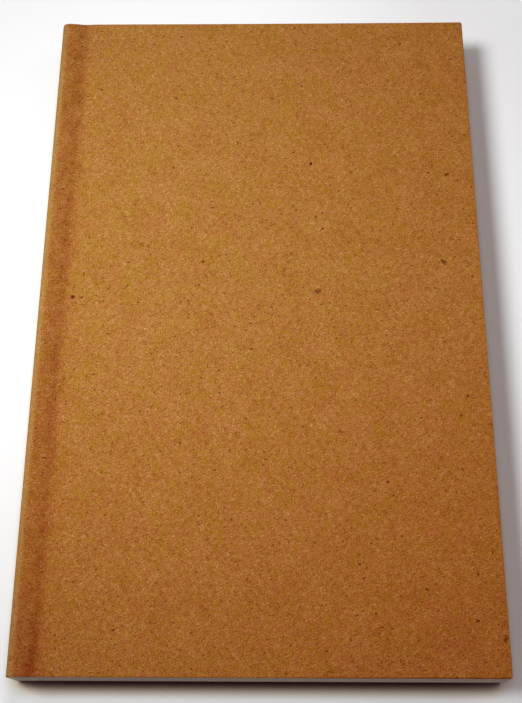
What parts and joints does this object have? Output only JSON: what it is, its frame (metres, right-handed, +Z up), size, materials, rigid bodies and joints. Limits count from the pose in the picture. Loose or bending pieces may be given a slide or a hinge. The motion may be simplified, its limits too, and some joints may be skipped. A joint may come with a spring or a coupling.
{
  "type": "softcover notebook",
  "caption": "Softcover notebook with a glued square back: a trimmed block of white leaves wrapped in kraft card, whose front and back covers open on scored hinge lines.",
  "frame": {"origin": "middle of the closed notebook's footprint, on the table under the back cover", "axes": "+X from the spine to the fore edge, +Y from the tail to the head, +Z up from the back cover to the front cover"},
  "size_m": [0.1334, 0.2096, 0.0156],
  "materials": {
    "leaves": "matte",
    "glue": "satin",
    "kraft_card": "matte"
  },
  "bodies": {
    "bound_block": {"page_block": "leaves", "spine_glue": "glue", "spine_wrap": "kraft_card"},
    "front_board": {"front_cover": "kraft_card"},
    "back_board": {"back_cover": "kraft_card"}
  },
  "joints": [
    {"name": "front_hinge", "type": "hinge", "parent": "bound_block", "child": "front_board", "pos_m": [-0.05887, 0, 0.0148], "axis": [0, -1, 0], "range_deg": [0, 165]},
    {"name": "back_hinge", "type": "hinge", "parent": "bound_block", "child": "back_board", "pos_m": [-0.05887, 0, 0.0002], "axis": [0, 1, 0], "range_deg": [0, 165]}
  ]
}
